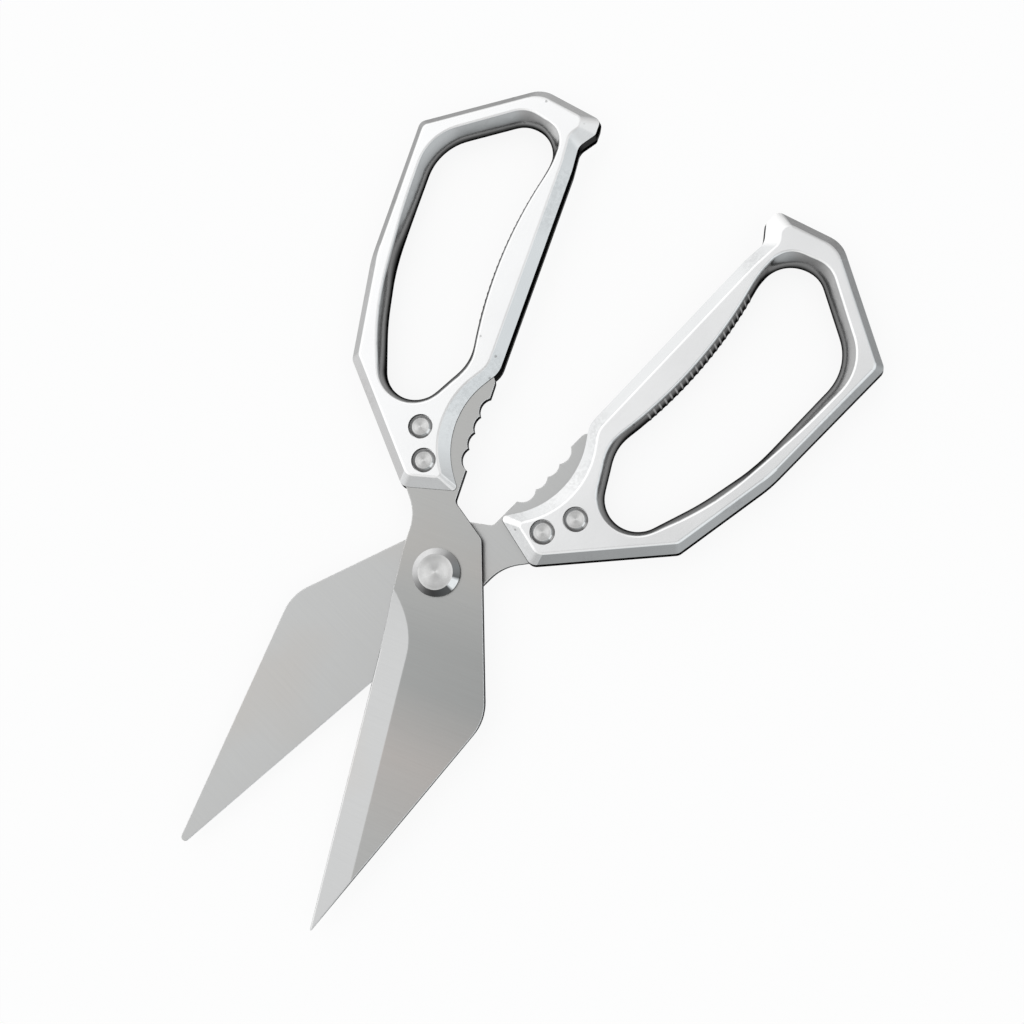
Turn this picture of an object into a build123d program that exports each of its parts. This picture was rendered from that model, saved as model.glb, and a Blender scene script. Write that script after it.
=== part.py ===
from build123d import *
from math import atan, cos, hypot, radians, sin
import os

os.makedirs("parts", exist_ok=True)

# Kitchen shears of two equal halves, the rear one turned over about the long axis.
# Millimetres. Origin on the pivot axis in the plane the shears lie on,
# +X towards the rear half's handle, +Y towards the handles, +Z up.
# Each half is drawn in its own frame: x away from the line where the closed
# handles meet, y from the pivot to the handle's end, z towards the other half.

# Whole object
opening_angle = 23.4
handle_thickness = 9.2
plate_thickness = 2.5
blade_gap = 0.06

# Blade, with its cutting edge on the side of its own handle
front_blade_length = 106.5
rear_blade_length = 107.5
front_tip_radius = 0.3
rear_tip_radius = 1.2
tip_angle = 26.8
back_corner_radius = 14.0
tip_share = -0.009
back_corner_shares = (-0.26, -0.3225)

# Ground bevel and fine chamfer along the cutting edge
bevel_width = 8.65
edge_thickness = 0.4
edge_chamfer = 0.25
run_out_length = 18.0
run_out_share = 0.245

# Neck and tang
tang_reach_share = 0.4164
edge_start_shares = (0.193, 0.049)
neck_shares = [(0.2, 0.228), (0.289, 0.336)]
neck_radii = [14.0, 3.0]
tang_shares = [(0.418, 0.549), (0.402, 0.648), (0.303, 0.705), (0.223, 0.811), (0.141, 0.967)]
tang_radius = 2.0
tang_end_shares = (0.055, 1.0)
tang_end_radius = 3.0
shoulder_shares = [(0.036, 0.341), (-0.146, 0.218)]
shoulder_radii = [2.0, 2.5]
neck_edge_radius = 20.0

# Gripping teeth on the side of the plate that faces the other half
tooth_count = 4
tooth_pitch = 5.0
tooth_radius = 3.9
tooth_depth = 2.0
first_tooth_share = 0.562
tooth_edge_share = 0.049

# Cast handle
handle_reach = 146.5
parting_shares = [
    (0.0128, 0.163),
    (0.1276, 0.1339),
    (0.3206, 0.3445),
    (0.3601, 0.5563),
    (0.3669, 0.8635),
    (0.1417, 1.0),
    (0.0034, 0.9689),
    (0.0031, 0.9345),
    (0.0273, 0.9017),
    (0.0225, 0.8498),
    (0.0191, 0.4133),
    (0.103, 0.2869),
]
bay_radius = 25.0
corner_radii = [1.2, 3.0, 3.0, 40.0, 2.5, 9.0, 2.0, 1.5, 4.0, 15.0, 7.0, bay_radius]
parting_draft = 0.35
chamfer_depth = 1.8
end_chamfer = 3.35
lower_chamfer = 2.9
side_chamfer = 2.4
upper_side_chamfer = 2.1
top_chamfer = 2.35
slant_chamfer = 2.65
spur_chamfer = 5.2
spur_lower_chamfer = 4.3
notch_chamfer = 3.4
arm_chamfer = 3.5
bay_chamfer = 3.15
face_edge_radius = 1.5

# Finger loop, its wall swelling from the faces to a tighter outline halfway
loop_shares = [
    (0.1572, 0.9481),
    (0.3348, 0.8372),
    (0.3311, 0.6874),
    (0.3065, 0.4553),
    (0.1962, 0.2),
    (0.0758, 0.4085),
    (0.1142, 0.6314),
    (0.0642, 0.8481),
    (0.0655, 0.9218),
]
loop_middle_shares = [
    (0.1529, 0.9249),
    (0.3133, 0.8266),
    (0.3106, 0.5666),
    (0.2826, 0.4437),
    (0.2014, 0.2177),
    (0.0869, 0.4198),
    (0.1232, 0.6314),
    (0.0751, 0.8396),
    (0.0744, 0.9099),
]
grip_radius = 134.0
loop_radii = [9.0, 16.0, 150.0, 80.0, 11.5, 12.0, grip_radius, 30.0, 7.0]
loop_middle_radii = [9.0, 16.0, 60.0, 80.0, 9.5, 14.0, grip_radius, 15.0, 9.5]
loop_edge_radius = 1.0
loop_curve_points = 80

# Grip ribs along the inner arm
rib_count = 22
rib_radius = 0.8
rib_height = 0.15
rib_reach = 3.9
rib_sink = 0.3
rib_row_shares = (0.15, 0.98)

# Two-part rivets, a post pressed into a sleeve
rivet_places = {"near": (0.1008, 0.1989), "far": (0.1312, 0.2604)}
seat_diameter = 7.3
seat_gap = 0.22
seat_depth = 1.2
head_recess = 0.1
head_flat_diameter = 5.0
head_bevel = 0.7
sleeve_diameter = 4.6
sleeve_bore = 3.2
rivet_end_gap = 0.25
sliding_fit = 0.02
hole_fit = 0.04
tang_fit = 0.05

# Pivot
bolt_head_diameter = 14.0
bolt_head_flat_diameter = 10.3
bolt_head_bevel = 1.3
bolt_head_rise = 0.15
axle_diameter = 7.0
axle_flat_width = 5.6
thread_diameter = 5.0
washer_diameter = 11.0
washer_thickness = 0.4
washer_gap = 0.03
nut_width = 9.0
nut_chamfer = 0.35

# Worked out from the sizes above
half_thickness = handle_thickness / 2
chamfer_start = half_thickness - chamfer_depth
half_opening = radians(opening_angle / 2)
plate_inner = blade_gap / 2
plate_outer = plate_inner + plate_thickness
head_radius = seat_diameter / 2 - seat_gap
head_top = half_thickness - head_recess
head_floor = half_thickness - seat_depth
tang_reach = tang_reach_share * handle_reach
grip_corner = loop_radii.index(grip_radius)
grip_swell = (loop_middle_shares[grip_corner][0] - loop_shares[grip_corner][0]) * handle_reach


def half_vector(side, x, y, z):
    # a direction of one half's own frame in the frame of the whole object
    across = side * (x * cos(half_opening) + y * sin(half_opening))
    return Vector(across, y * cos(half_opening) - x * sin(half_opening), side * z)


def half_plane(side, origin=(0, 0, 0), x_dir=(1, 0, 0), z_dir=(0, 0, 1)):
    # a plane given in one half's own frame; side is -1 for the front half, 1 for the rear
    start = Vector(0, 0, half_thickness) + half_vector(side, *origin)
    return Plane(origin=start, x_dir=half_vector(side, *x_dir), z_dir=half_vector(side, *z_dir))


def scaled(shares, length):
    return [(across * length, along * length) for across, along in shares]


def moved_corner(before, corner, after, first_inset, second_inset):
    # where two sides of an outline meet once each has moved inwards by its own distance
    first = hypot(corner[0] - before[0], corner[1] - before[1])
    second = hypot(after[0] - corner[0], after[1] - corner[1])
    a, b = (before[1] - corner[1]) / first, (corner[0] - before[0]) / first
    c, d = (corner[1] - after[1]) / second, (after[0] - corner[0]) / second
    turn = a * d - b * c
    across = (first_inset * d - second_inset * b) / turn
    return corner[0] + across, corner[1] + (a * second_inset - c * first_inset) / turn


def moved_outline(corners, insets):
    # insets holds one distance for the side that follows each corner
    count = len(corners)
    return [
        moved_corner(corners[i - 1], corners[i], corners[(i + 1) % count], insets[i - 1], insets[i])
        for i in range(count)
    ]


def tip_corner(blade_length, tip_radius):
    # the sharp corner that a rounded tip of this radius is cut from
    return tip_share * blade_length, -blade_length - tip_radius * (1 / sin(radians(tip_angle / 2)) - 1)


def plate_corners(blade_length, tip_radius):
    edge_start = scaled([edge_start_shares], tang_reach)
    neck = scaled(neck_shares, tang_reach)
    tang = scaled(tang_shares + [tang_end_shares], tang_reach)
    shoulder = scaled(shoulder_shares, tang_reach)
    back = scaled([back_corner_shares], blade_length)
    return [tip_corner(blade_length, tip_radius)] + edge_start + neck + tang + shoulder + back


def plate_radii(tip_radius):
    tang = [tang_radius for share in tang_shares] + [tang_end_radius]
    return [tip_radius, neck_edge_radius] + neck_radii + tang + shoulder_radii + [back_corner_radius]


def rivet_centres():
    return scaled(rivet_places.values(), handle_reach)


def make_blade(side, blade_length, tip_radius, axle_flats):
    corners = plate_corners(blade_length, tip_radius)
    tip, edge_start = corners[0], corners[1]
    edge_length = hypot(tip[0] - edge_start[0], tip[1] - edge_start[1])
    along = ((tip[0] - edge_start[0]) / edge_length, (tip[1] - edge_start[1]) / edge_length, 0)
    rise = plate_thickness - edge_thickness
    slope = atan(rise / bevel_width)
    # across the bevel, from the cutting edge up to the plate's outer face
    across = (along[1] * cos(slope), -along[0] * cos(slope), -sin(slope))
    run_out_radius = run_out_length**2 / (2 * rise)
    run_out_y = -run_out_share * blade_length
    run_out_start = (edge_start[0] + along[0] / along[1] * (run_out_y - edge_start[1]), run_out_y)
    with BuildPart() as blade:
        with BuildSketch(half_plane(side, (0, 0, -plate_outer))):
            with BuildLine():
                FilletPolyline(*corners, radius=plate_radii(tip_radius), close=True)
            make_face()
            for tooth in range(tooth_count):
                centre_x = tooth_edge_share * tang_reach + tooth_depth - tooth_radius
                centre_y = first_tooth_share * tang_reach + tooth * tooth_pitch
                with Locations((centre_x, centre_y)):
                    Circle(tooth_radius, mode=Mode.SUBTRACT)
            with Locations(*rivet_centres()):
                Circle(sleeve_diameter / 2 + hole_fit, mode=Mode.SUBTRACT)
            Circle(axle_diameter / 2 + hole_fit, mode=Mode.SUBTRACT)
        extrude(amount=plate_thickness)
        if axle_flats:
            # two flats of the axle hole that keep the bolt from turning
            with BuildSketch(half_plane(side, (0, 0, -plate_outer))):
                Circle(axle_diameter / 2 + hole_fit)
                Rectangle(axle_flat_width + 2 * hole_fit, axle_diameter + 2 * hole_fit, mode=Mode.SUBTRACT)
            extrude(amount=plate_thickness)
        # the flat grind, with the wheel's run-out towards the neck
        edge_point = (*run_out_start, -plate_inner - edge_thickness)
        grind = half_plane(side, edge_point, along, tuple(-part for part in across))
        with BuildSketch(grind):
            with BuildLine():
                flat = Line((blade_length, 0), (0, 0))
                run_out = RadiusArc(flat @ 1, (-run_out_length, rise), run_out_radius)
                Polyline(run_out @ 1, (-run_out_length, blade_length / 4), (blade_length, blade_length / 4), flat @ 0)
            make_face()
        extrude(amount=blade_length / 2, both=True, mode=Mode.SUBTRACT)
        # the fine chamfer that makes the cutting edge, as far as the flat grind goes
        land_point = (*run_out_start, edge_chamfer - edge_thickness - plate_inner)
        with BuildSketch(half_plane(side, land_point, (along[1], -along[0], 0), along)):
            with BuildLine():
                Polyline((0, 0), (2 * edge_chamfer, 2 * edge_chamfer), (0, 2 * edge_chamfer), close=True)
            make_face()
        extrude(amount=blade_length, mode=Mode.SUBTRACT)
    return blade.part


def smooth_points(shares, radii):
    # evenly spaced points along an outline with rounded corners
    with BuildLine() as outline:
        FilletPolyline(*scaled(shares, handle_reach), radius=radii, close=True)
    wire = outline.wire()
    return [wire @ (point / loop_curve_points) for point in range(loop_curve_points)]


def make_opening(side):
    # the finger hole as a solid, narrowest halfway through the thickness
    rim = smooth_points(loop_shares, loop_radii)
    middle = smooth_points(loop_middle_shares, loop_middle_radii)
    with BuildPart() as opening:
        for points, height in ((rim, -half_thickness), (middle, 0), (rim, half_thickness)):
            with BuildSketch(half_plane(side, (0, 0, height))):
                with BuildLine():
                    Spline(*points, periodic=True)
                make_face()
        loft()
    return opening.part


def make_ribs(side):
    # grip ribs on the swelling wall, sunk into it at both ends
    with BuildLine(half_plane(side)) as middle_path:
        FilletPolyline(*scaled(loop_middle_shares, handle_reach), radius=loop_middle_radii, close=True)
    grip_wall = middle_path.edges().filter_by(lambda edge: edge.geom_type == GeomType.CIRCLE)
    grip_wall = grip_wall.sort_by(lambda edge: abs(edge.radius - grip_radius))[0]
    rib_first, rib_last = rib_row_shares
    rib_crest = rib_height - rib_radius
    rib_end = -grip_swell * (rib_reach / half_thickness) ** 2 - rib_radius - rib_sink
    with BuildPart() as ribs:
        for rib in range(rib_count):
            place = rib_first + (rib_last - rib_first) * rib / (rib_count - 1)
            rib_plane = Plane(grip_wall @ place, x_dir=half_vector(side, 0, 0, 1), z_dir=grip_wall % place)
            with BuildLine(rib_plane) as rib_path:
                ThreePointArc((-rib_reach, rib_end), (0, rib_crest), (rib_reach, rib_end))
            with BuildSketch(Plane(rib_path.line @ 0, z_dir=rib_path.line % 0)):
                Circle(rib_radius)
            sweep(path=rib_path.line)
    return ribs.part


def make_handle(side, blade_length, tip_radius):
    corners = scaled(parting_shares, handle_reach)
    tang_corners = plate_corners(blade_length, tip_radius)
    chamfers = [
        end_chamfer,
        lower_chamfer,
        side_chamfer,
        upper_side_chamfer,
        top_chamfer,
        slant_chamfer,
        spur_chamfer,
        spur_lower_chamfer,
        notch_chamfer,
        arm_chamfer,
        bay_chamfer,
        bay_chamfer,
    ]
    insets = {
        0: [0 for chamfer_width in chamfers],
        chamfer_start: [parting_draft for chamfer_width in chamfers],
        half_thickness: [parting_draft + chamfer_width for chamfer_width in chamfers],
    }
    opening = make_opening(side)
    ribs = make_ribs(side)
    with BuildPart() as handle:
        for height in (-half_thickness, -chamfer_start, 0, chamfer_start, half_thickness):
            with BuildSketch(half_plane(side, (0, 0, height))):
                with BuildLine():
                    FilletPolyline(*moved_outline(corners, insets[abs(height)]), radius=corner_radii, close=True)
                make_face()
        loft(ruled=True)
        faces = handle.faces().sort_by(Axis.Z)
        fillet(faces[0].edges() + faces[-1].edges(), radius=face_edge_radius)
        add(opening, mode=Mode.SUBTRACT)
        faces = handle.faces().sort_by(Axis.Z)
        loop_rims = faces[0].inner_wires()[0].edges() + faces[-1].inner_wires()[0].edges()
        fillet(loop_rims, radius=loop_edge_radius)
        add(ribs)
        # the slot that holds the tang, open towards bay and pivot
        with BuildSketch(half_plane(side, (0, 0, -plate_outer))):
            with BuildLine():
                FilletPolyline(*tang_corners, radius=plate_radii(tip_radius), close=True)
            make_face()
            offset(amount=tang_fit)
        extrude(amount=plate_thickness, mode=Mode.SUBTRACT)
        # rivet holes with a seat for a head at both faces
        with BuildSketch(half_plane(side, (0, 0, -half_thickness))):
            with Locations(*rivet_centres()):
                Circle(sleeve_diameter / 2 + hole_fit)
        extrude(amount=handle_thickness, mode=Mode.SUBTRACT)
        for floor in (-half_thickness, half_thickness - seat_depth):
            with BuildSketch(half_plane(side, (0, 0, floor))):
                with Locations(*rivet_centres()):
                    Circle(seat_diameter / 2)
            extrude(amount=seat_depth, mode=Mode.SUBTRACT)
    return handle.part


def upright_plane(side, centre):
    # an upright plane through the middle of a rivet, x away from its axis
    return Plane(half_plane(side, (*centre, 0)).origin, x_dir=(1, 0, 0), z_dir=(0, -1, 0))


def make_post(side, centre):
    middle = upright_plane(side, centre)
    post_radius = sleeve_bore / 2 - sliding_fit
    with BuildPart() as post:
        with BuildSketch(middle):
            with BuildLine():
                Polyline(
                    (0, head_top),
                    (head_flat_diameter / 2, head_top),
                    (head_radius, head_top - head_bevel),
                    (head_radius, head_floor),
                    (post_radius, head_floor),
                    (post_radius, rivet_end_gap - head_floor),
                    (0, rivet_end_gap - head_floor),
                    close=True,
                )
            make_face()
        revolve(axis=Axis(middle.origin, (0, 0, 1)))
    return post.part


def make_sleeve(side, centre):
    middle = upright_plane(side, centre)
    with BuildPart() as sleeve:
        with BuildSketch(middle):
            with BuildLine():
                Polyline(
                    (0, -head_top),
                    (head_flat_diameter / 2, -head_top),
                    (head_radius, head_bevel - head_top),
                    (head_radius, -head_floor),
                    (sleeve_diameter / 2, -head_floor),
                    (sleeve_diameter / 2, head_floor - rivet_end_gap),
                    (sleeve_bore / 2, head_floor - rivet_end_gap),
                    (sleeve_bore / 2, -head_floor),
                    (0, -head_floor),
                    close=True,
                )
            make_face()
        revolve(axis=Axis(middle.origin, (0, 0, 1)))
    return sleeve.part


# Both halves
halves = {
    "front": (-1, front_blade_length, front_tip_radius, True),
    "rear": (1, rear_blade_length, rear_tip_radius, False),
}
for half, (side, blade_length, tip_radius, axle_flats) in halves.items():
    blade = make_blade(side, blade_length, tip_radius, axle_flats)
    blade.label = half + "_blade"
    export_step(blade, "parts/" + blade.label + ".step")
    handle = make_handle(side, blade_length, tip_radius)
    handle.label = half + "_handle"
    export_step(handle, "parts/" + handle.label + ".step")
    for place, centre in zip(rivet_places, rivet_centres()):
        post = make_post(side, centre)
        post.label = half + "_" + place + "_rivet_post"
        export_step(post, "parts/" + post.label + ".step")
        sleeve = make_sleeve(side, centre)
        sleeve.label = half + "_" + place + "_rivet_sleeve"
        export_step(sleeve, "parts/" + sleeve.label + ".step")

# Pivot bolt: bevelled head on the front blade, axle, and a thinner thread below
pivot_plane = upright_plane(-1, (0, 0))
bolt_top = half_thickness + bolt_head_rise
nut_top = -plate_outer - washer_gap - washer_thickness
with BuildPart() as pivot_bolt:
    with BuildSketch(pivot_plane):
        with BuildLine():
            Polyline(
                (0, bolt_top),
                (bolt_head_flat_diameter / 2, bolt_top),
                (bolt_head_diameter / 2, bolt_top - bolt_head_bevel),
                (bolt_head_diameter / 2, plate_outer),
                (axle_diameter / 2, plate_outer),
                (axle_diameter / 2, -plate_outer),
                (thread_diameter / 2, -plate_outer),
                (thread_diameter / 2, -half_thickness),
                (0, -half_thickness),
                close=True,
            )
        make_face()
    revolve(axis=Axis(pivot_plane.origin, (0, 0, 1)))
    with BuildSketch(half_plane(-1, (0, 0, -plate_outer))):
        Circle(axle_diameter)
        Rectangle(axle_flat_width, 2 * axle_diameter, mode=Mode.SUBTRACT)
    extrude(amount=plate_thickness, mode=Mode.SUBTRACT)
pivot_bolt.part.label = "pivot_bolt"
export_step(pivot_bolt.part, "parts/pivot_bolt.step")

# Spring washer between the rear blade and the nut
with BuildPart() as pivot_washer:
    with BuildSketch(Plane((0, 0, half_thickness + nut_top))):
        Circle(washer_diameter / 2)
        Circle(thread_diameter / 2 + hole_fit, mode=Mode.SUBTRACT)
    extrude(amount=washer_thickness)
pivot_washer.part.label = "pivot_washer"
export_step(pivot_washer.part, "parts/pivot_washer.step")

# Thin nut, its underside level with those of the handles
with BuildPart() as pivot_nut:
    with BuildSketch(Plane.XY):
        RegularPolygon(nut_width / 2, 6, major_radius=False)
    extrude(amount=half_thickness + nut_top)
    chamfer(pivot_nut.faces().sort_by(Axis.Z)[0].edges(), length=nut_chamfer)
    with BuildSketch(Plane.XY):
        Circle(thread_diameter / 2 + hole_fit)
    extrude(amount=half_thickness + nut_top, mode=Mode.SUBTRACT)
pivot_nut.part.label = "pivot_nut"
export_step(pivot_nut.part, "parts/pivot_nut.step")
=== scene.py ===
import math
import bpy
from mathutils import Matrix, Vector


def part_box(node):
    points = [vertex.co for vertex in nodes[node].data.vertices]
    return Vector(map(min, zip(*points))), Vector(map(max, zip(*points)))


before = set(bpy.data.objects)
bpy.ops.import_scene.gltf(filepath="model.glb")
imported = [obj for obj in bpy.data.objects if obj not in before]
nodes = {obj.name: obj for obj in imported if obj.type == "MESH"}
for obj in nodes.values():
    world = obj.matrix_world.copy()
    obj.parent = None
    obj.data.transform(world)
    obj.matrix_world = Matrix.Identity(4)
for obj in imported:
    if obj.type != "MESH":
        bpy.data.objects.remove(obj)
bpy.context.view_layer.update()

halfOpening = 11.7  # degrees that each half stands away from the middle line
halfTurn = {"front": halfOpening, "rear": -halfOpening}


def newMaterial(name):
    material = bpy.data.materials.new(name)
    material.use_nodes = True
    tree = material.node_tree
    return material, tree, tree.nodes["Principled BSDF"]


def newMetal(name, look):
    material, tree, shader = newMaterial(name)
    shader.inputs["Metallic"].default_value = 1
    shader.inputs["Specular Tint"].default_value = grey(look["grazing"])
    return material, tree, shader


def addNode(tree, kind, **values):
    node = tree.nodes.new(kind)
    for key, value in values.items():
        if key in node.inputs:
            node.inputs[key].default_value = value
        else:
            setattr(node, key, value)
    return node


def grey(value):
    return (value, value, value, 1)


def ramp(tree, source, stops):
    # stops are positions with a grey value or a colour
    node = tree.nodes.new("ShaderNodeValToRGB")
    tree.links.new(source, node.inputs["Fac"])
    elements = node.color_ramp.elements
    while len(elements) < len(stops):
        elements.new(0.5)
    for element, (position, colour) in zip(elements, stops):
        element.position = position
        element.color = colour if isinstance(colour, tuple) else grey(colour)
    return node.outputs["Color"]


def calculate(tree, operation, first, second=None, third=None):
    node = addNode(tree, "ShaderNodeMath", operation=operation)
    for socket, value in zip(node.inputs, (first, second, third)):
        if isinstance(value, (int, float)):
            socket.default_value = value
        elif value is not None:
            tree.links.new(value, socket)
    return node.outputs[0]


def product(tree, first, *others):
    for other in others:
        first = calculate(tree, "MULTIPLY", first, other)
    return first


def toShare(tree, value):
    # -1 to 1 becomes 0 to 1
    return calculate(tree, "MULTIPLY_ADD", value, 0.5, 0.5)


def mixColour(tree, factor, first, second, blend="MIX"):
    node = addNode(tree, "ShaderNodeMix", data_type="RGBA", blend_type=blend)
    for place, value in ((0, factor), (6, first), (7, second)):
        if isinstance(value, (int, float, tuple)):
            node.inputs[place].default_value = value
        else:
            tree.links.new(value, node.inputs[place])
    return node.outputs[2]


def shaded(tree, tone, shade):
    return mixColour(tree, 1.0, tone, shade, "MULTIPLY")


def split(tree, vector):
    node = tree.nodes.new("ShaderNodeSeparateXYZ")
    tree.links.new(vector, node.inputs[0])
    return node.outputs


def distance(tree, vector, centre=(0, 0, 0)):
    node = addNode(tree, "ShaderNodeVectorMath", operation="DISTANCE")
    tree.links.new(vector, node.inputs[0])
    node.inputs[1].default_value = centre
    return node.outputs["Value"]


def objectPlace(tree, centre=(0, 0, 0), turn=0, scale=(1, 1, 1)):
    # object coordinates with centre as the middle of the pattern
    place = tree.nodes.new("ShaderNodeTexCoord")
    shift = addNode(tree, "ShaderNodeMapping", vector_type="TEXTURE",
                    Location=centre, Rotation=(0, 0, math.radians(turn)))
    tree.links.new(place.outputs["Object"], shift.inputs["Vector"])
    stretch = addNode(tree, "ShaderNodeMapping", Scale=scale)
    tree.links.new(shift.outputs["Vector"], stretch.inputs["Vector"])
    return stretch.outputs["Vector"]


def middleOf(name):
    low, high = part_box(name)
    middle = (low + high) / 2
    return (middle.x, middle.y, 0)


def noise(tree, vector, scale, detail=2, roughness=0.5):
    node = addNode(tree, "ShaderNodeTexNoise", Scale=scale, Detail=detail, Roughness=roughness)
    tree.links.new(vector, node.inputs["Vector"])
    return node.outputs["Fac"]


def bump(tree, height, strength, depth, below=None):
    node = addNode(tree, "ShaderNodeBump", Strength=strength, Distance=depth)
    tree.links.new(height, node.inputs["Height"])
    if below is not None:
        tree.links.new(below, node.inputs["Normal"])
    return node.outputs["Normal"]


def upright(tree, normal=None):
    # 1 on a face that looks straight up, 0 on a wall, -1 on the underside
    if normal is None:
        normal = tree.nodes.new("ShaderNodeNewGeometry").outputs["Normal"]
    return split(tree, normal)["Z"]


def dress(name, material):
    piece = nodes[name]
    piece.data.materials.clear()
    piece.data.materials.append(material)


# Cast handles with painted shade by slope: bright on the faces, a painted highlight on the rounded
# rims, duller painted shade on steep chamfers, darkest painted shade on the walls, painted
# differently for the front and rear halves
handleLook = {
    "face": (0.93, 0.935, 0.94, 1),
    "rim": 0.99,
    "slope": (0.81, 0.82, 0.825, 1),
    "chamfer": {"front": 0.6, "rear": 0.47},
    "wall": {"front": 0.05, "rear": 0.07},
    "wallFoot": 1.5,  # times the wall, where it starts to lean
    "chamferFoot": 0.5,  # times the chamfer, where it is steepest
    "chamferMiddle": 0.9,
    "leaning": [(0.12, 0.0), (0.2, 1.0), (0.49, 1.0), (0.52, 0.0)],
    "grazing": 0.1,
    "roughness": 0.17,
    "roughnessRange": 0.14,
    "patchScale": 60,
    "patchDetail": 3,
    "patch": [(0.35, 0.96), (0.65, 1.0)],
    "grainScale": 2600,
    "grainStrength": 0.12,
    "grainDepth": 0.00002,
}

# Grip ribs, each a pitch apart on the finger side of the loop, with a painted highlight on each
# crest
ribLook = {
    "start": 0.07384,
    "pitch": 0.0020895,
    "count": 22,
    "wall": 0.014,
    "wallReach": 0.005,
    "crest": [(0.06, 1.0), (0.2, 0.0)],
    "upright": [(0.0, 0.7), (0.3, 1.0), (0.5, 1.0), (0.6, 0.0)],
    "shine": 0.36,
}

# Cut seats around the rivets, their walls painted light in place of the painted wall shade
seatLook = {
    "reach": 0.0039,
    "upright": [(0.5, 1.0), (0.8, 0.0)],
    "shine": 0.4,
}

# Uneven skin that the mould left on the chamfers
skinLook = {
    "scale": 900,
    "detail": 4,
    "roughness": 0.6,
    "shade": [(0.42, 0.9), (0.6, 1.0)],
    "upright": [(0.6, 0.0), (0.8, 1.0), (0.93, 1.0), (0.97, 0.0)],
    "areaScale": 55,
    "areaDetail": 1,
    "area": [(0.5, 0.0), (0.62, 1.0)],
    "strength": 0.25,
    "depth": 0.00006,
}

# A few round casting pits
pitLook = {
    "scale": 170,
    "shape": [(0.03, 0.0), (0.09, 1.0)],
    "areaScale": 45,
    "areaDetail": 1,
    "area": [(0.56, 1.0), (0.63, 0.0)],
    "shade": [(0.0, 0.6), (1.0, 1.0)],
    "strength": 0.5,
    "depth": 0.00015,
}


def castTone(tree, half, up, flat):
    chamfer = handleLook["chamfer"][half]
    wall = handleLook["wall"][half]
    # painted shade and highlight by slope: dark walls, duller chamfers, a bright rim highlight,
    # bright faces
    tone = ramp(tree, flat, [
        (0.0, wall), (0.25, handleLook["wallFoot"] * wall),
        (0.5, handleLook["chamferFoot"] * chamfer), (0.78, handleLook["chamferMiddle"] * chamfer),
        (0.853, chamfer), (0.865, handleLook["slope"]), (0.893, handleLook["slope"]),
        (0.925, handleLook["rim"]), (0.97, handleLook["rim"]), (0.99, handleLook["face"])])
    # painted shade: the lower part of the loop's wall, which leans back, is painted dark
    leaning = ramp(tree, toShare(tree, up), handleLook["leaning"])
    return mixColour(tree, leaning, tone, grey(wall))


def addRibs(tree, half, flat, tone):
    place = split(tree, objectPlace(tree, turn=halfTurn[half]))
    pitch, count = ribLook["pitch"], ribLook["count"]
    row = calculate(tree, "MULTIPLY_ADD", place["Y"], 1 / pitch, -ribLook["start"] / pitch)
    nearest = calculate(tree, "ROUND", row)
    beside = calculate(tree, "ABSOLUTE", calculate(tree, "SUBTRACT", row, nearest))
    crest = ramp(tree, beside, ribLook["crest"])
    inRow = calculate(tree, "COMPARE", row, (count - 1) / 2, count / 2)
    outwards = calculate(tree, "ABSOLUTE", place["X"])
    onGrip = calculate(tree, "COMPARE", outwards, ribLook["wall"], ribLook["wallReach"])
    onWall = ramp(tree, flat, ribLook["upright"])
    ribs = product(tree, product(tree, crest, inRow), product(tree, onGrip, onWall))
    # painted highlight on the rib crests
    return mixColour(tree, ribs, tone, grey(ribLook["shine"]))


def addSeats(tree, half, flat, tone):
    for rivet in ("near", "far"):
        centre = middleOf(half + "_" + rivet + "_rivet_post")
        toRivet = distance(tree, objectPlace(tree, centre=centre, scale=(1, 1, 0)))
        seat = calculate(tree, "LESS_THAN", toRivet, seatLook["reach"])
        seat = product(tree, seat, ramp(tree, flat, seatLook["upright"]))
        # painted light on the seat walls
        tone = mixColour(tree, seat, tone, grey(seatLook["shine"]))
    return tone


def area(tree, place, look):
    # patches of the casting where a flaw shows or not
    where = noise(tree, place, look["areaScale"], look["areaDetail"])
    return ramp(tree, where, look["area"])


def castMetal(half):
    material, tree, shader = newMetal(half + "HandleCasting", handleLook)
    place = objectPlace(tree)
    up = upright(tree)
    flat = calculate(tree, "ABSOLUTE", up)
    tone = castTone(tree, half, up, flat)
    tone = addRibs(tree, half, flat, tone)
    tone = addSeats(tree, half, flat, tone)
    broad = noise(tree, place, handleLook["patchScale"], handleLook["patchDetail"])
    tone = shaded(tree, tone, ramp(tree, broad, handleLook["patch"]))
    skin = noise(tree, place, skinLook["scale"], skinLook["detail"], skinLook["roughness"])
    onSkin = product(tree, ramp(tree, flat, skinLook["upright"]), area(tree, place, skinLook))
    tone = mixColour(tree, onSkin, tone, shaded(tree, tone, ramp(tree, skin, skinLook["shade"])))
    pits = addNode(tree, "ShaderNodeTexVoronoi", Scale=pitLook["scale"])
    tree.links.new(place, pits.inputs["Vector"])
    pitShape = ramp(tree, pits.outputs["Distance"], pitLook["shape"])
    pitHeight = mixColour(tree, area(tree, place, pitLook), pitShape, grey(1))
    tone = shaded(tree, tone, ramp(tree, pitHeight, pitLook["shade"]))
    tree.links.new(tone, shader.inputs["Base Color"])
    gloss = calculate(tree, "MULTIPLY_ADD", broad,
                      handleLook["roughnessRange"], handleLook["roughness"])
    tree.links.new(gloss, shader.inputs["Roughness"])
    pitted = bump(tree, pitHeight, pitLook["strength"], pitLook["depth"])
    uneven = bump(tree, skin, skinLook["strength"], skinLook["depth"], pitted)
    fine = noise(tree, place, handleLook["grainScale"])
    grain = bump(tree, fine, handleLook["grainStrength"], handleLook["grainDepth"], uneven)
    tree.links.new(grain, shader.inputs["Normal"])
    return material


for half in ("front", "rear"):
    dress(half + "_handle", castMetal(half))
print("handles dressed")
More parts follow.
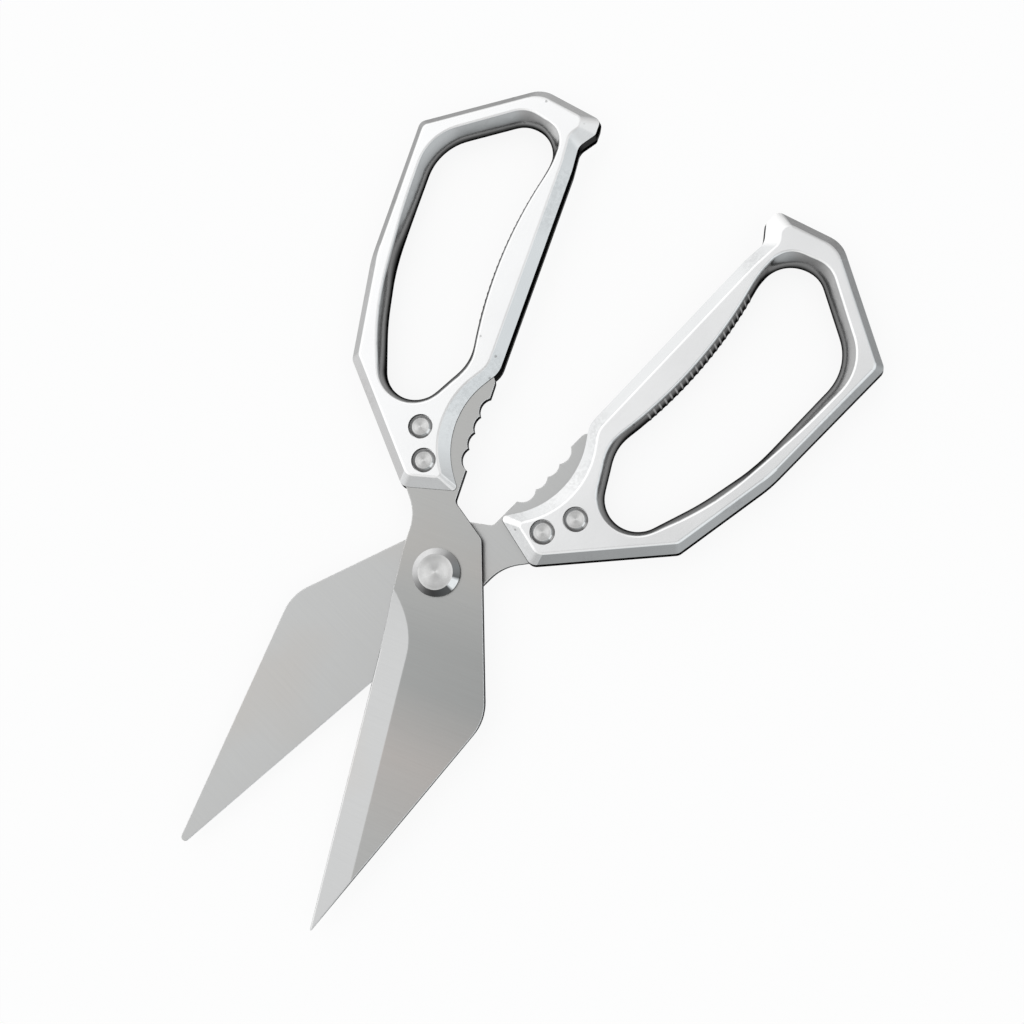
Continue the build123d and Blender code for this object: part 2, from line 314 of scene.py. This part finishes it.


# Blades: satin steel ground across the plate, brighter bevel, a painted highlight along the edges
# and painted shade on the side walls
bladeLook = {
    # the front plate is painted darker than the rear one, as painted shade
    "plate": {"front": (0.515, 0.517, 0.508, 1), "rear": (0.56, 0.565, 0.562, 1)},
    "warmPlate": (1.0, 0.95, 0.93, 1),
    "coolPlate": (0.78, 0.79, 0.795, 1),
    "tip": -0.11,  # along the half, from the pivot
    "reach": 0.13,
    "onPlate": [(0.975, 0.0), (0.992, 1.0)],
    "bevel": (0.6, 0.605, 0.605, 1),
    "edge": 1.0,
    "side": 0.05,
    "softEdge": 0.00045,
    "edgeSamples": 4,
    "grazing": 0.3,
    "cloudScale": 22,
    "cloud": [(0.34, (1.0, 0.975, 0.955, 1)), (0.48, 1.0)],
    "lineScale": (60, 4000, 60),
    "lineDetail": 3,
    "lineRoughness": 0.6,
    "lineShade": [(0.3, 0.95), (0.7, 1.0)],
    "lineStrength": 0.3,
    "lineDepth": 0.00001,
    "roughness": 0.25,
    "roughnessRange": 0.1,
}


def addPlateShade(tree, place, flat, tone):
    # painted reflection: warmer halfway to the tip, cooler and duller at the shoulder
    share = calculate(tree, "MULTIPLY_ADD", split(tree, place)["Y"],
                      1 / bladeLook["reach"], -bladeLook["tip"] / bladeLook["reach"])
    shade = ramp(tree, share, [
        (0.05, 0.97), (0.25, 0.97), (0.44, bladeLook["warmPlate"]),
        (0.6, bladeLook["coolPlate"]), (0.7, bladeLook["coolPlate"]), (0.88, 0.95)])
    return mixColour(tree, ramp(tree, flat, bladeLook["onPlate"]), tone, shaded(tree, tone, shade))


def bladeSteel(half):
    material, tree, shader = newMetal(half + "BladeSteel", bladeLook)
    soft = addNode(tree, "ShaderNodeBevel", samples=bladeLook["edgeSamples"],
                   Radius=bladeLook["softEdge"])
    softened = soft.outputs["Normal"]
    flat = calculate(tree, "ABSOLUTE", upright(tree, softened))
    place = objectPlace(tree, turn=halfTurn[half])
    stretched = objectPlace(tree, turn=halfTurn[half], scale=bladeLook["lineScale"])
    lines = noise(tree, stretched, 1, bladeLook["lineDetail"], bladeLook["lineRoughness"])
    # painted shade on the side walls, painted highlight along the softened edges
    tone = ramp(tree, flat, [
        (0.1, bladeLook["side"]), (0.3, bladeLook["edge"]), (0.925, bladeLook["edge"]),
        (0.94, bladeLook["bevel"]), (0.975, bladeLook["bevel"]),
        (0.992, bladeLook["plate"][half])])
    if half == "front":
        tone = addPlateShade(tree, place, flat, tone)
    broad = noise(tree, place, bladeLook["cloudScale"])
    tone = shaded(tree, tone, ramp(tree, broad, bladeLook["cloud"]))
    tone = shaded(tree, tone, ramp(tree, lines, bladeLook["lineShade"]))
    tree.links.new(tone, shader.inputs["Base Color"])
    gloss = calculate(tree, "MULTIPLY_ADD", lines,
                      bladeLook["roughnessRange"], bladeLook["roughness"])
    tree.links.new(gloss, shader.inputs["Roughness"])
    grain = bump(tree, lines, bladeLook["lineStrength"], bladeLook["lineDepth"], softened)
    tree.links.new(grain, shader.inputs["Normal"])
    return material


for half in ("front", "rear"):
    dress(half + "_blade", bladeSteel(half))
print("blades dressed")


# Rivets and pivot: polished bevel around a turned disc, with painted light and shade on the bevel
# and a painted sheen on the disc
turnedLook = {
    "steel": (0.82, 0.82, 0.815, 1),
    "bevel": {"rivet": (0.9, 0.4), "pivot": (0.7, 0.1)},  # painted light side, painted dark side
    "flatRadius": {"rivet": 0.0025, "pivot": 0.00515},
    "lightSide": 150,
    "spot": 0.95,
    "spotReach": [(0.95, 0.0), (0.985, 1.0)],
    "fan": [(0.1, 0.7), (0.9, 1.0)],
    "fanTurn": 40,
    "spread": [(0.0, 1.0), (0.25, 0.88), (0.6, 0.97), (0.85, 0.88), (1.0, 1.0)],
    "wornScale": 900,
    "wornDetail": 3,
    "worn": [(0.3, 0.93), (0.7, 1.0)],
    "grazing": 0.5,
    "spin": 0.6,
    "ringWidth": 0.00022,
    "ringStrength": 0.4,
    "ringDepth": 0.00003,
    "polished": 0.1,
    "turned": 0.26,
}


def discTone(tree, around):
    # painted sheen that fans out from the middle
    twice = calculate(tree, "MULTIPLY_ADD", around, 2, -2 * math.radians(turnedLook["fanTurn"]))
    fan = toShare(tree, calculate(tree, "COSINE", twice))
    return shaded(tree, turnedLook["steel"], ramp(tree, fan, turnedLook["fan"]))


def bevelTone(tree, kind, around):
    # painted light on one side and painted shade on the other, with one painted highlight spot
    light, dark = turnedLook["bevel"][kind]
    turned = calculate(tree, "ADD", around, -math.radians(turnedLook["lightSide"]))
    side = toShare(tree, calculate(tree, "COSINE", turned))
    tone = ramp(tree, side, [(0.1, dark), (0.95, light)])
    spot = ramp(tree, calculate(tree, "COSINE", around), turnedLook["spotReach"])
    return mixColour(tree, spot, tone, grey(turnedLook["spot"]))


def turnedSteel(name, kind):
    material, tree, shader = newMetal(name + "Steel", turnedLook)
    # grooves around the middle stretch the shine outwards
    shader.inputs["Anisotropic"].default_value = turnedLook["spin"]
    groove = addNode(tree, "ShaderNodeTangent", direction_type="RADIAL", axis="Z")
    tree.links.new(groove.outputs["Tangent"], shader.inputs["Tangent"])
    place = objectPlace(tree, centre=middleOf(name))
    parts = split(tree, place)
    across = product(tree, parts["X"], parts["X"])
    along = product(tree, parts["Y"], parts["Y"])
    radius = calculate(tree, "SQRT", calculate(tree, "ADD", across, along))
    flatRadius = turnedLook["flatRadius"][kind]
    onFlat = calculate(tree, "LESS_THAN", radius, flatRadius)
    around = calculate(tree, "ARCTAN2", parts["Y"], parts["X"])
    tone = mixColour(tree, onFlat, bevelTone(tree, kind, around), discTone(tree, around))
    spread = ramp(tree, calculate(tree, "DIVIDE", radius, flatRadius), turnedLook["spread"])
    tone = shaded(tree, tone, spread)
    fine = noise(tree, place, turnedLook["wornScale"], turnedLook["wornDetail"])
    tone = shaded(tree, tone, ramp(tree, fine, turnedLook["worn"]))
    tree.links.new(tone, shader.inputs["Base Color"])
    duller = turnedLook["turned"] - turnedLook["polished"]
    gloss = calculate(tree, "MULTIPLY_ADD", onFlat, duller, turnedLook["polished"])
    tree.links.new(gloss, shader.inputs["Roughness"])
    wave = calculate(tree, "MULTIPLY", radius, 2 * math.pi / turnedLook["ringWidth"])
    rings = product(tree, calculate(tree, "SINE", wave), onFlat)
    ridges = bump(tree, rings, turnedLook["ringStrength"], turnedLook["ringDepth"])
    tree.links.new(ridges, shader.inputs["Normal"])
    return material


for name in nodes:
    for kind in turnedLook["flatRadius"]:
        if kind in name:
            dress(name, turnedSteel(name, kind))
print("rivets and pivot dressed")


# White floor, which metal shows as well, with a faint shadow under the shears
floorLook = {
    "size": 4,
    "height": -0.0002,
    "colour": (1, 1, 1, 1),
    "roughness": 0.9,
    "shadow": 0.12,
}

bpy.ops.object.select_all(action="DESELECT")
bpy.ops.mesh.primitive_plane_add(size=floorLook["size"], location=(0, 0, floorLook["height"]))
floor = bpy.context.object
floor.name = "floor"
material, tree, shader = newMaterial("paleFloor")
shader.inputs["Base Color"].default_value = floorLook["colour"]
shader.inputs["Roughness"].default_value = floorLook["roughness"]
glow = addNode(tree, "ShaderNodeEmission", Color=floorLook["colour"], Strength=1.0)
rays = tree.nodes.new("ShaderNodeLightPath")
seen = calculate(tree, "MAXIMUM", rays.outputs["Is Camera Ray"], rays.outputs["Is Glossy Ray"])
seen = calculate(tree, "MAXIMUM", seen, rays.outputs["Is Transmission Ray"])
mixer = tree.nodes.new("ShaderNodeMixShader")
tree.links.new(calculate(tree, "MULTIPLY", seen, 1 - floorLook["shadow"]), mixer.inputs[0])
tree.links.new(shader.outputs[0], mixer.inputs[1])
tree.links.new(glow.outputs[0], mixer.inputs[2])
tree.links.new(mixer.outputs[0], tree.nodes["Material Output"].inputs["Surface"])
floor.data.materials.append(material)

# Soft studio sky: bright left, calmer right, darker at both ends and above the right hand
skyLook = {
    "left": 1.1,
    "overhead": 0.82,
    "right": (0.88 * 0.96, 0.88, 0.88 * 1.02, 1),
    "ends": 0.62,
    "darkPlace": (0.22, 0.03, 0.975),
    "dark": 0.6,
}

world = bpy.data.worlds.new("studio")
bpy.context.scene.world = world
world.use_nodes = True
tree = world.node_tree
direction = tree.nodes.new("ShaderNodeTexCoord").outputs["Generated"]
parts = split(tree, direction)
lit = ramp(tree, toShare(tree, parts["X"]), [
    (0.0, skyLook["left"]), (0.34, skyLook["left"]), (0.42, skyLook["overhead"]),
    (0.6, skyLook["overhead"]), (0.75, skyLook["right"]), (1.0, skyLook["right"])])
endways = calculate(tree, "ABSOLUTE", parts["Y"])
lit = shaded(tree, lit, ramp(tree, endways, [(0.5, 1.0), (0.9, skyLook["ends"])]))
toDark = distance(tree, direction, skyLook["darkPlace"])
lit = shaded(tree, lit, ramp(tree, toDark, [(0.05, skyLook["dark"]), (0.36, 1.0)]))
tree.links.new(lit, tree.nodes["Background"].inputs["Color"])
print("studio ready")

# The photograph's view: turn is the axis times the angle in radians
cameraLook = {
    "sensor": 36,
    "lens": 1130 / 1024 * 36,
    "place": (0.07436, 0.01629, 0.32305),
    "turn": (2.930622763831391, 0.8241258667359926, -0.2850738541412626),
    "near": 0.01,
    "far": 20,
}
camera = bpy.data.objects.new("camera", bpy.data.cameras.new("camera"))
bpy.context.scene.collection.objects.link(camera)
bpy.context.scene.camera = camera
camera.data.sensor_width = cameraLook["sensor"]
camera.data.lens = cameraLook["lens"]
camera.data.clip_start = cameraLook["near"]
camera.data.clip_end = cameraLook["far"]
turn = Vector(cameraLook["turn"])
seenFromWorld = Matrix.Rotation(turn.length, 3, turn.normalized())
flip = Matrix(((1, 0, 0), (0, -1, 0), (0, 0, -1)))
facing = (flip @ seenFromWorld).transposed().to_4x4()
camera.matrix_world = Matrix.Translation(cameraLook["place"]) @ facing

bpy.context.scene.view_settings.view_transform = "Standard"
